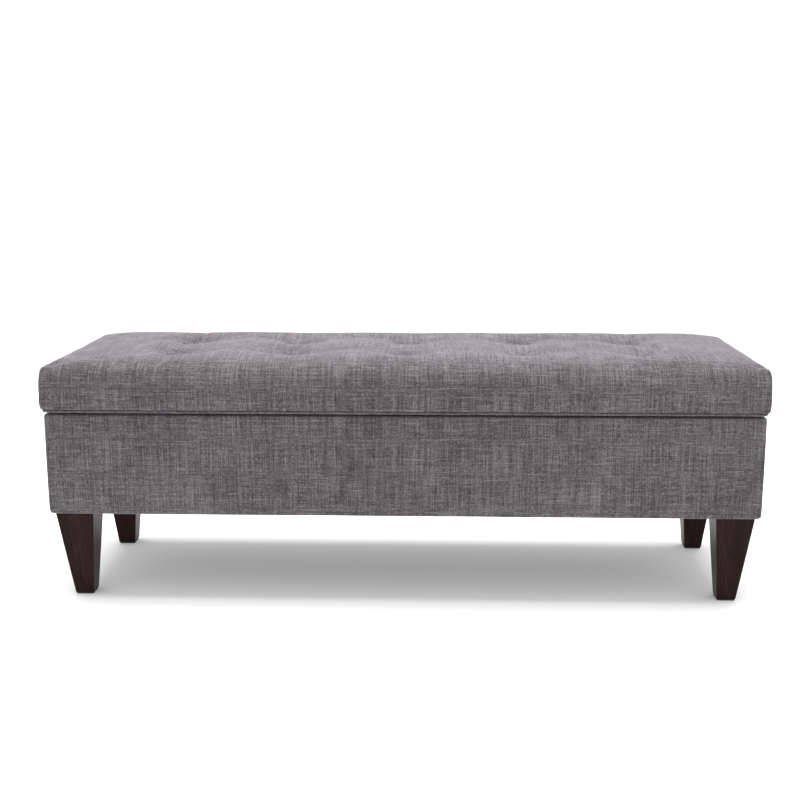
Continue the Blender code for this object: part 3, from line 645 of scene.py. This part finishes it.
def lid_cushion():
    """Button-tufted box cushion, sewn to the piping and resting on the lid board."""
    base = LID_LOW.z
    xs = cushion_lines(TOP_EDGE.x, [b.x for b in BUTTON_CENTRES])
    ys = cushion_lines(TOP_EDGE.y, [b.y for b in BUTTON_CENTRES])
    bm = bmesh.new()
    grid = [[bm.verts.new((x, y, top_height(x, y))) for y in ys] for x in xs]
    for i in range(len(xs) - 1):
        for j in range(len(ys) - 1):
            bm.faces.new((grid[i][j], grid[i + 1][j], grid[i + 1][j + 1], grid[i][j + 1]))

    border = border_points(xs, ys)
    rings = [[shoulder_spot(xs[i], ys[j], *row) for i, j in border] for row in shoulder_rings()]
    rings += [[side_spot(xs[i], ys[j], *row) for i, j in border] for row in side_rings(base)]
    previous = [grid[i][j] for i, j in border]
    for places in rings:
        ring = [bm.verts.new(place) for place in places]
        for k in range(len(ring)):
            n = (k + 1) % len(ring)
            bm.faces.new((previous[n], previous[k], ring[k], ring[n]))
        previous = ring
    bmesh.ops.recalc_face_normals(bm, faces=bm.faces)
    weave_uv(bm, OUTER, WIDEST_HEIGHT + SHOULDER_RISE)
    held = [weight_held(vertex.co, base) for vertex in bm.verts]
    cushion = piece("lid_cushion", bm, LINEN, "lid", ("lid_cover", "lid_foam"))
    swell_cloth(cushion, held)
    apply_subdivision(cushion)
    close_below(cushion)
    return cushion


def close_below(cushion):
    """Close the cushion's underside, where it rests on the lid board, with one flat face."""
    bm = bmesh.new()
    bm.from_mesh(cushion.data)
    edges = [edge for edge in bm.edges if edge.is_boundary]
    height = sum(edge.verts[0].co.z for edge in edges) / len(edges)
    for edge in edges:
        for vertex in edge.verts:
            vertex.co.z = height
    bmesh.ops.holes_fill(bm, edges=edges, sides=0)
    bmesh.ops.recalc_face_normals(bm, faces=bm.faces)
    bm.to_mesh(cushion.data)
    bm.free()


def side_rings(base):
    """(inset, height, corner radius, wavy) of the rings below the widest line."""
    rows = []
    for step in range(1, SIDE_ROWS + 1):
        z = WIDEST_HEIGHT + (base + 0.003 - WIDEST_HEIGHT) * step / SIDE_ROWS
        rows.append((side_inset(z, base), z, SIDE_CORNER, True))
    rows.append((SIDE_TUCK + 0.0006, base + 0.0012, SIDE_CORNER, False))
    rows.append((SIDE_TUCK + 0.0022, base, 0.008, False))
    board = LID_HIGH.x - BOARD_HIGH.x - 0.0005
    rest = BOARD_HIGH.z + 0.0004
    rows += [(board - 0.0006, base, 0.006, False), (board, base + 0.0006, 0.006, False)]
    rows += [(board, rest - 0.0008, 0.006, False), (board + 0.0010, rest, 0.005, False)]
    rows += [(board + 0.010, rest, 0.004, False)]
    return rows


# -------------------------------------------------------------------------- buttons

BUTTON_RADIUS = 0.0125
BUTTON_DOME = 0.0052
BUTTON_LIFT = 0.0050  # of its rim, over the cushion's seat
BUTTON_SIDES, BUTTON_ROWS = 40, 9


def button_seat(skin, centre):
    """Height of the finished cushion under a button."""
    near = np.hypot(skin[:, 0] - centre.x, skin[:, 1] - centre.y) < BUTTON_SEAT * 0.8
    return float(skin[near & (skin[:, 2] > WIDEST_HEIGHT), 2].mean())


def covered_button(node, skin):
    """Cloth pulled over a domed disc, gathered in small folds round its rim."""
    low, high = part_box(node)
    centre = (low + high) / 2
    seat = button_seat(skin, centre)
    bm = bmesh.new()
    rings = []
    slopes = [row / BUTTON_ROWS * math.pi / 2 for row in range(1, BUTTON_ROWS + 1)]
    profile = [(math.sin(slope) ** 0.9, math.cos(slope)) for slope in slopes]
    profile += [(1.0, -0.25), (0.93, -0.5), (0.80, -0.6)]
    for out, up in profile:
        ring = []
        for side in range(BUTTON_SIDES):
            angle = 2 * math.pi * side / BUTTON_SIDES
            gather = 0.00035 * math.cos(13 * angle + centre.x * 40) * max(0.0, out - 0.55) / 0.45
            radius = BUTTON_RADIUS * out + gather
            ring.append((
                centre.x + radius * math.cos(angle), centre.y + radius * math.sin(angle),
                seat + BUTTON_LIFT + BUTTON_DOME * up,
            ))
        rings.append(ring)
    made = loft_rings(bm, rings)
    crown = bm.verts.new((centre.x, centre.y, seat + BUTTON_LIFT + BUTTON_DOME))
    for side in range(BUTTON_SIDES):
        bm.faces.new((crown, made[0][(side + 1) % BUTTON_SIDES], made[0][side]))
    bm.faces.new(made[-1])
    bmesh.ops.recalc_face_normals(bm, faces=bm.faces)
    weave_uv(bm, OUTER, LID_HIGH.z)
    piece(node.replace("tuft_button", "covered_button"), bm, LINEN, "lid", (node,))


# --------------------------------------------------------------------------- piping


def tube_along(bm, route, radius, sides=12):
    """Closed tube along a closed route in the XY plane, with cloth coordinates."""
    layer = bm.loops.layers.uv.new("weave")
    count = len(route)
    rings = []
    for index, point in enumerate(route):
        ahead = (route[(index + 1) % count] - route[index - 1]).normalized()
        outward = Vector((ahead.y, -ahead.x, 0))
        rings.append([
            bm.verts.new(point + radius * (math.cos(t) * outward + math.sin(t) * Vector((0, 0, 1))))
            for t in (2 * math.pi * s / sides for s in range(sides))
        ])
    run = 0.0
    for index in range(count):
        nxt = (index + 1) % count
        length = (route[nxt] - route[index]).length
        for side in range(sides):
            n = (side + 1) % sides
            face = bm.faces.new((rings[index][side], rings[nxt][side], rings[nxt][n], rings[index][n]))
            around = 2 * math.pi * radius / sides
            corners = ((run, side), (run + length, side), (run + length, side + 1), (run, side + 1))
            for loop, (u, v) in zip(face.loops, corners):
                loop[layer].uv = (u, v * around)
        run += length


def lid_welt():
    """Piping round the lid's lower edge, in cloth cut on the bias."""
    radius = (PIPING_HIGH.z - PIPING_LOW.z) / 2
    half = Vector((PIPING_HIGH.x - radius, PIPING_HIGH.y - radius)) + Vector((0.0015, 0.0015))
    height = (PIPING_HIGH.z + PIPING_LOW.z) / 2
    route = []
    for spot in rectangle_route(half, 0.016, 0.006):
        lift = 0.00035 * sway(spot.x, spot.y, 0, 12, 4.4)
        out = 1 + 0.0004 * sway(spot.x, spot.y, 0, 10, 9.7) / max(abs(spot.x), abs(spot.y))
        route.append(Vector((spot.x * out, spot.y * out, height + lift)))
    bm = bmesh.new()
    tube_along(bm, route, radius - 0.0002)
    bmesh.ops.recalc_face_normals(bm, faces=bm.faces)
    piece("lid_welt", bm, LINEN_BIAS, "lid", ("lid_piping",))


FOLD_CLOTH = 0.0005  # thickness


def lid_cover_fold():
    """The cushion cover's edge, folded down behind the piping and under the lid board."""
    outer = Vector((BOARD_HIGH.x, BOARD_HIGH.y)) + Vector((0.0007, 0.0007))
    inner = Vector((LID_LINING_HIGH.x, LID_LINING_HIGH.y)) + Vector((0.0003, 0.0003))
    reach = outer.x - inner.x
    under = LID_LINING_LOW.z + 0.0002
    section = [
        (0, LID_LOW.z - 0.0008, 0.0190), (0, under + 0.0006, 0.0190), (0.0004, under, 0.0188),
        (reach - 0.0006, under, 0.0010), (reach, under + 0.0002, 0.0008),
        (reach, under + FOLD_CLOTH, 0.0008), (0.0012, under + FOLD_CLOTH, 0.0184),
        (FOLD_CLOTH, under + 0.0010, 0.0186), (FOLD_CLOTH, LID_LOW.z - 0.0008, 0.0186),
    ]
    route = rectangle_route(outer, 0.019, 0.014)
    rings = []
    for inset, z, corner in section:
        half = outer - Vector((inset, inset))
        spots = [
            round_corner(p.x * half.x / outer.x, p.y * half.y / outer.y, half, corner) for p in route
        ]
        rings.append([(spot.x, spot.y, z) for spot in spots])
    bm = bmesh.new()
    loft_rings(bm, rings, closed_loop=True)
    bmesh.ops.recalc_face_normals(bm, faces=bm.faces)
    weave_uv(bm, outer, LID_LOW.z)
    piece("lid_cover_fold", bm, LINEN, "lid")


# ----------------------------------------------------------------------- box covers

BOX_CORNER = 0.006
RIM_RADIUS = 0.004
UNDER_RADIUS = 0.009
BOX_BULGE = 0.0016  # at half height
BOX_PUFF = 0.0022  # all over the outside
PROFILE_ROWS = 12


def box_profile():
    """(inset, height) round the cover's section: rim fold, outside, fold under, and back inside."""
    top, bottom = BODY_HIGH.z, BODY_LOW.z
    rows = [(0.0206, top - 0.0014), (0.0204, top - 0.0004), (0.0196, top), (0.012, top + 0.00005)]
    for step in range(5):
        angle = step / 4 * math.pi / 2
        rows.append((RIM_RADIUS * (1 - math.sin(angle)), top - RIM_RADIUS * (1 - math.cos(angle))))
    upper, lower = top - RIM_RADIUS, bottom + UNDER_RADIUS
    for step in range(1, PROFILE_ROWS):
        along = step / PROFILE_ROWS
        rows.append((-BOX_BULGE * math.sin(along * math.pi) ** 0.6, upper + (lower - upper) * along))
    for step in range(6):
        angle = step / 5 * math.pi / 2
        rows.append((UNDER_RADIUS * (1 - math.cos(angle)), bottom + UNDER_RADIUS * (1 - math.sin(angle))))
    rows += [(0.0118, bottom), (0.0122, bottom + 0.0010), (0.0045, bottom + 0.0012)]
    rows += [(0.0041, bottom + 0.0014), (0.0041, top - 0.0014)]
    rows += [(0.0046, top - 0.0012), (0.0200, top - 0.0012)]
    return rows


def box_upholstery():
    """Padded cover of the box, folded over the rim and under the panels."""
    half = Vector((BODY_HIGH.x, BODY_HIGH.y))
    route = rectangle_route(half, BOX_CORNER, 0.014)
    rings = []
    for inset, z in box_profile():
        outside = inset < 0.0035
        inner = half - Vector((max(inset, 0), max(inset, 0)))
        corner = max(0.0012, BOX_CORNER - max(inset, 0) * 0.75)
        ring = []
        for spot in route:
            x, y = spot.x * inner.x / half.x, spot.y * inner.y / half.y
            near = round_corner(x, y, inner, corner)
            swell = -min(inset, 0) * (1 - max(abs(spot.x) / half.x, 0) ** 30 * 0.6)
            if outside:
                swell += (
                    BOX_PUFF + 0.0006 * sway(spot.x, spot.y, z, 6, 1.3)
                    + 0.0003 * sway(spot.x, spot.y, z, 17, 6.1)
                )
            if abs(near.x) > inner.x - corner:
                push = Vector((math.copysign(swell, near.x), 0))
            else:
                push = Vector((0, math.copysign(swell, near.y)))
            lift = 0.0007 * sway(spot.x, spot.y, 0, 8, 2.2) if z < BODY_LOW.z + UNDER_RADIUS else 0.0
            ring.append((near.x + push.x, near.y + push.y, z + max(0.0, lift)))
        rings.append(ring)
    bm = bmesh.new()
    loft_rings(bm, rings, closed_loop=True)
    bmesh.ops.recalc_face_normals(bm, faces=bm.faces)
    weave_uv(bm, half, BODY_HIGH.z)
    cover = piece("box_upholstery", bm, LINEN, "box", ("body_cover",))
    apply_subdivision(cover)


SHEET_STEP = 0.012
SHEET_RIPPLE = 0.0001


def stretched_cloth(name, node, material, body, keep=None):
    """Thin cloth stapled flat, with a slightly uneven face, as one closed sheet."""
    low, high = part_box(node)
    bm = bmesh.new()
    xs = grid_lines((high.x - low.x) / 2, SHEET_STEP)
    ys = grid_lines((high.y - low.y) / 2, SHEET_STEP)
    verts = {}
    for level, z in ((0, low.z), (1, high.z)):
        for i, x in enumerate(xs):
            for j, y in enumerate(ys):
                wave = SHEET_RIPPLE * sway(x, y, 0, 11, 6.6)
                verts[level, i, j] = bm.verts.new((x, y, z + wave))
    cells = [
        (i, j) for i in range(len(xs) - 1) for j in range(len(ys) - 1)
        if keep is None or keep((xs[i] + xs[i + 1]) / 2, (ys[j] + ys[j + 1]) / 2)
    ]
    present = set(cells)
    beside = ((0, -1), (1, 0), (0, 1), (-1, 0))
    for i, j in cells:
        corners = [(i, j), (i + 1, j), (i + 1, j + 1), (i, j + 1)]
        bm.faces.new([verts[1, a, b] for a, b in corners])
        bm.faces.new([verts[0, a, b] for a, b in reversed(corners)])
        for a, b, (di, dj) in zip(corners, corners[1:] + corners[:1], beside):
            if (i + di, j + dj) not in present:
                bm.faces.new([verts[0, *a], verts[0, *b], verts[1, *b], verts[1, *a]])
    bmesh.ops.delete(bm, geom=[v for v in bm.verts if not v.link_faces], context="VERTS")
    bmesh.ops.recalc_face_normals(bm, faces=bm.faces)
    sheet = piece(name, bm, material, body, (node,))


def underside_cloth():
    """Dust cover stapled under the box, notched at the four legs."""
    leg_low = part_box("leg_rear_right")[0]
    notch = Vector((leg_low.x + 0.005, leg_low.y + 0.005))

    def clear_of_legs(x, y):
        return abs(x) < notch.x or abs(y) < notch.y

    stretched_cloth("underside_cloth", "dust_cover", DUST_CLOTH, "box", clear_of_legs)


def lid_underside_cloth():
    """Cloth stapled under the lid board."""
    stretched_cloth("lid_underside_cloth", "lid_lining", LINING, "lid")


LINING_THICK = 0.0007
LINING_WRINKLE = 0.0022
LINING_HEM = 0.006  # no wrinkles this near an edge


def compartment_cloth():
    """Sewn lining of the compartment: floor and walls, with a soft inside corner."""
    low, high = LINING_LOW, LINING_HIGH
    half = Vector((high.x, high.y))
    route = rectangle_route(half, 0.003, 0.014, 3)
    thick = LINING_THICK
    floor = low.z + thick
    rows = [(thick * 0.2, high.z), (thick, high.z), (thick, high.z - 0.004)]
    rows += [(thick, high.z - 0.004 - (high.z - floor - 0.012) * s / 10) for s in range(1, 11)]
    rows += [(thick + 0.0012, floor + 0.0022), (thick + 0.004, floor)]
    rows += [(inset, floor) for inset in (0.02, 0.06, 0.12)]
    rings = []
    for inset, z in rows:
        inner = half - Vector((inset, inset))
        ring = []
        for spot in route:
            x, y = spot.x * inner.x / half.x, spot.y * inner.y / half.y
            near = round_corner(x, y, inner, 0.0028)
            lift = 0.0006 * max(0.0, sway(x, y, 0, 9, 3.3)) if z < floor + 0.001 else 0.0
            if inset == thick and z < high.z - LINING_HEM and abs(near.x) < inner.x - LINING_HEM:
                fold = max(0.0, sway(near.x * 1.6, near.y, z * 0.5, 13, 7.9))
                near.y -= math.copysign(LINING_WRINKLE * fold, near.y)
            ring.append((near.x, near.y, z + lift))
        rings.append(ring)
    outside = [(x * 1.0004, y * 1.0004, low.z) for x, y, _ in rings[0]]
    bm = bmesh.new()
    made = loft_rings(bm, [outside] + rings)
    bm.faces.new(made[-1])
    bm.faces.new(list(reversed(made[0])))
    bmesh.ops.recalc_face_normals(bm, faces=bm.faces)
    piece("compartment_cloth", bm, LINING, "box", ("compartment_lining",))


# ------------------------------------------------------------------------- hardware


STAPLE_CROWN = 0.0095
STAPLE_WIRE = 0.0006
STAPLE_PITCH = 0.055


def add_staple(bm, centre, along, up):
    """Staple crown lying on cloth, with its two bent legs just entering it."""
    across = up.cross(along)
    half = STAPLE_CROWN / 2
    path = [
        centre - along * half - up * 0.0004, centre - along * half + up * STAPLE_WIRE,
        centre + along * half + up * STAPLE_WIRE, centre + along * half - up * 0.0004,
    ]
    corners = [(-1, -1), (1, -1), (1, 1), (-1, 1)]
    rings = []
    for index, point in enumerate(path):
        side = along if index in (0, 3) else up
        rings.append([
            bm.verts.new(point + (across * a + side * b) * STAPLE_WIRE / 2) for a, b in corners
        ])
    for first, second in zip(rings, rings[1:]):
        for i in range(4):
            j = (i + 1) % 4
            bm.faces.new((first[i], first[j], second[j], second[i]))
    bm.faces.new(list(reversed(rings[0])))
    bm.faces.new(rings[-1])


def along_edge(half):
    """Where the staples of one edge lie along it."""
    count = round(2 * half / STAPLE_PITCH)
    return [-half + 2 * half * (i + 0.5) / count for i in range(count)]


def staples(name, low, high, inset, body, skip):
    """Staples just inside the edge of a cloth that faces down."""
    bm = bmesh.new()
    down = Vector((0, 0, -1))
    half_x, half_y = (high.x - low.x) / 2 - inset, (high.y - low.y) / 2 - inset
    runs = [(x, s * half_y, (1, 0.12)) for x in along_edge(half_x) for s in (-1, 1)]
    runs += [(s * half_x, y, (0.12, 1)) for y in along_edge(half_y) for s in (-1, 1)]
    for x, y, along in runs:
        if skip(x, y):
            continue
        tilt = 0.25 * sway(x, y, 0, 40, 2.5)
        direction = Vector((along[0] + tilt * along[1], along[1] - tilt * along[0], 0)).normalized()
        wander = Vector((0, 0.0012 * sway(x, y, 0, 60, 1.5), 0))
        add_staple(bm, Vector((x, y, low.z)) + wander, direction, down)
    bmesh.ops.recalc_face_normals(bm, faces=bm.faces)
    piece(name, bm, SCREW_STEEL, body).data.shade_flat()


def underside_staples():
    """Staples of the dust cover, none of them over a leg."""
    leg_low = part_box("leg_rear_right")[0]

    def over_leg(x, y):
        return abs(x) > leg_low.x - 0.006 and abs(y) > leg_low.y - 0.006

    staples("underside_staples", DUST_LOW, DUST_HIGH, 0.010, "box", over_leg)


def lid_cloth_staples():
    """Staples of the cloth under the lid, none of them under the hinge."""
    hinge_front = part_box("hinge_lid_leaf")[0].y

    def under_hinge(x, y):
        return y > hinge_front - 0.004

    staples("lid_cloth_staples", LID_LINING_LOW, LID_LINING_HIGH, 0.008, "lid", under_hinge)


SCREW_SIDES = 24
HINGE_SCREWS = 14


def add_screw(bm, place, axis, radius, proud):
    """Flat-topped screw head with a cross recess, proud of a face along an axis."""
    turn = axis.to_track_quat("Z", "Y").to_matrix().to_4x4()
    to_place = Matrix.Translation(place) @ turn
    slot_half, slot_reach, depth = radius * 0.13, radius * 0.55, radius * 0.35
    profile = [(radius, -0.0002), (radius, proud * 0.5), (radius * 0.9, proud), (radius * 0.62, proud)]
    angles = [2 * math.pi * side / SCREW_SIDES for side in range(SCREW_SIDES)]
    rings = []
    for out, up in profile:
        rings.append([to_place @ Vector((out * math.cos(a), out * math.sin(a), up)) for a in angles])
    recess = []
    for a in angles:
        arm = max(abs(math.cos(a)), abs(math.sin(a)))
        reach = slot_reach if arm > 0.97 else slot_half * 1.6
        recess.append((reach * math.cos(a), reach * math.sin(a)))
    rings.append([to_place @ Vector((x, y, proud)) for x, y in recess])
    rings.append([to_place @ Vector((x * 0.85, y * 0.85, proud - depth)) for x, y in recess])
    made = loft_rings(bm, rings)
    bm.faces.new(made[-1])
    bm.faces.new(list(reversed(made[0])))


def hinge_screws():
    """Flush screws along both leaves of the continuous hinge."""
    for node, body, up in (("hinge_body_leaf", "box", 1), ("hinge_lid_leaf", "lid", -1)):
        low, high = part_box(node)
        leaf = BODY_HIGH.z + 0.0016 if up > 0 else LID_LINING_LOW.z - 0.0016
        bm = bmesh.new()
        for index in range(HINGE_SCREWS):
            x = low.x + (high.x - low.x) * (index + 0.5) / HINGE_SCREWS
            add_screw(bm, Vector((x, low.y + 0.0075, leaf)), Vector((0, 0, up)), 0.0032, 0.0002)
        bmesh.ops.recalc_face_normals(bm, faces=bm.faces)
        piece(node + "_screws", bm, SCREW_STEEL, body)


def stay_screws():
    """Screws of the stays' base plates and lid brackets."""
    for side, sign in (("left", -1), ("right", 1)):
        low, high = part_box("stay_base_plate_" + side)
        inner = low.x if sign > 0 else high.x
        bm = bmesh.new()
        for y in (low.y + 0.008, high.y - 0.008):
            for z in (low.z + 0.007, high.z - 0.007):
                add_screw(bm, Vector((inner, y, z)), Vector((-sign, 0, 0)), 0.0034, 0.0002)
        bmesh.ops.recalc_face_normals(bm, faces=bm.faces)
        piece("stay_base_screws_" + side, bm, SCREW_STEEL, "box")

        low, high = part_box("stay_lid_bracket_" + side)
        flange = LID_LINING_LOW.z - 0.0028
        edge = low.x if sign > 0 else high.x
        bm = bmesh.new()
        for y in (low.y + 0.010, high.y - 0.010):
            add_screw(bm, Vector((edge + sign * 0.011, y, flange)), Vector((0, 0, -1)), 0.0038, 0.0012)
        bmesh.ops.recalc_face_normals(bm, faces=bm.faces)
        piece("stay_bracket_screws_" + side, bm, SCREW_STEEL, "lid")


# ------------------------------------------------------------------ stage and camera

CAMERA_PLACE = Vector((0.0899, -2.6515, 0.9225))
CAMERA_YAW = 0.0382
CAMERA_PITCH = 0.1956
CAMERA_ROLL = -0.0026
CAMERA_LENS = 53.7


def add_camera():
    """Camera at the viewing angle of the picture that the bench is matched to."""
    data = bpy.data.cameras.new("camera")
    data.lens = CAMERA_LENS
    data.sensor_width = 36.0
    camera = bpy.data.objects.new("camera", data)
    bpy.context.scene.collection.objects.link(camera)
    tilt = Matrix.Rotation(math.pi / 2 - CAMERA_PITCH, 4, "X")
    roll = Matrix.Rotation(CAMERA_ROLL, 4, "Z")
    camera.matrix_world = (
        Matrix.Translation(CAMERA_PLACE) @ Matrix.Rotation(CAMERA_YAW, 4, "Z") @ tilt @ roll
    )
    bpy.context.scene.camera = camera


def add_overhead_light():
    """Soft rectangular light over the bench, facing down onto it."""
    place, target = Vector((0.0, 0.25, 2.7)), Vector((0, 0, 0.3))
    data = bpy.data.lights.new("overhead", "AREA")
    data.shape = "RECTANGLE"
    data.size, data.size_y = 3.4, 1.8
    data.energy = 120
    light = bpy.data.objects.new("overhead", data)
    light.location = place
    light.rotation_euler = (target - place).to_track_quat("-Z", "Y").to_euler()
    bpy.context.scene.collection.objects.link(light)


def add_stage():
    """Pale floor and soft studio light, mostly from above."""
    bm = bmesh.new()
    bmesh.ops.create_grid(bm, x_segments=1, y_segments=1, size=30)
    mesh = bpy.data.meshes.new("studio_floor")
    bm.to_mesh(mesh)
    bm.free()
    floor = bpy.data.objects.new("studio_floor", mesh)
    floor.location.z = -0.0002
    bpy.context.scene.collection.objects.link(floor)
    g = Graph("pale_floor")
    mesh.materials.append(g.finish(
        Base_Color=(0.92, 0.92, 0.92, 1), Roughness=0.85, Specular_IOR_Level=0.1,
        Emission_Color=(1, 1, 1, 1), Emission_Strength=0.10,
    ))

    world = bpy.data.worlds.new("studio")
    world.use_nodes = True
    background = world.node_tree.nodes["Background"]
    background.inputs["Color"].default_value = (1, 1, 1, 1)
    background.inputs["Strength"].default_value = 1.0
    bpy.context.scene.world = world
    bpy.context.scene.view_settings.view_transform = "Standard"

    add_overhead_light()


# ------------------------------------------------------------------------ the bench


def build():
    """Every visible piece of the bench."""
    dress_frame()
    cushion = lid_cushion()
    skin = np.array([v.co for v in cushion.data.vertices])
    for node in BUTTON_NODES:
        covered_button(node, skin)
    lid_welt()
    lid_cover_fold()
    box_upholstery()
    compartment_cloth()
    underside_cloth()
    lid_underside_cloth()
    hinge_screws()
    stay_screws()
    underside_staples()
    lid_cloth_staples()


build()
add_camera()
add_stage()
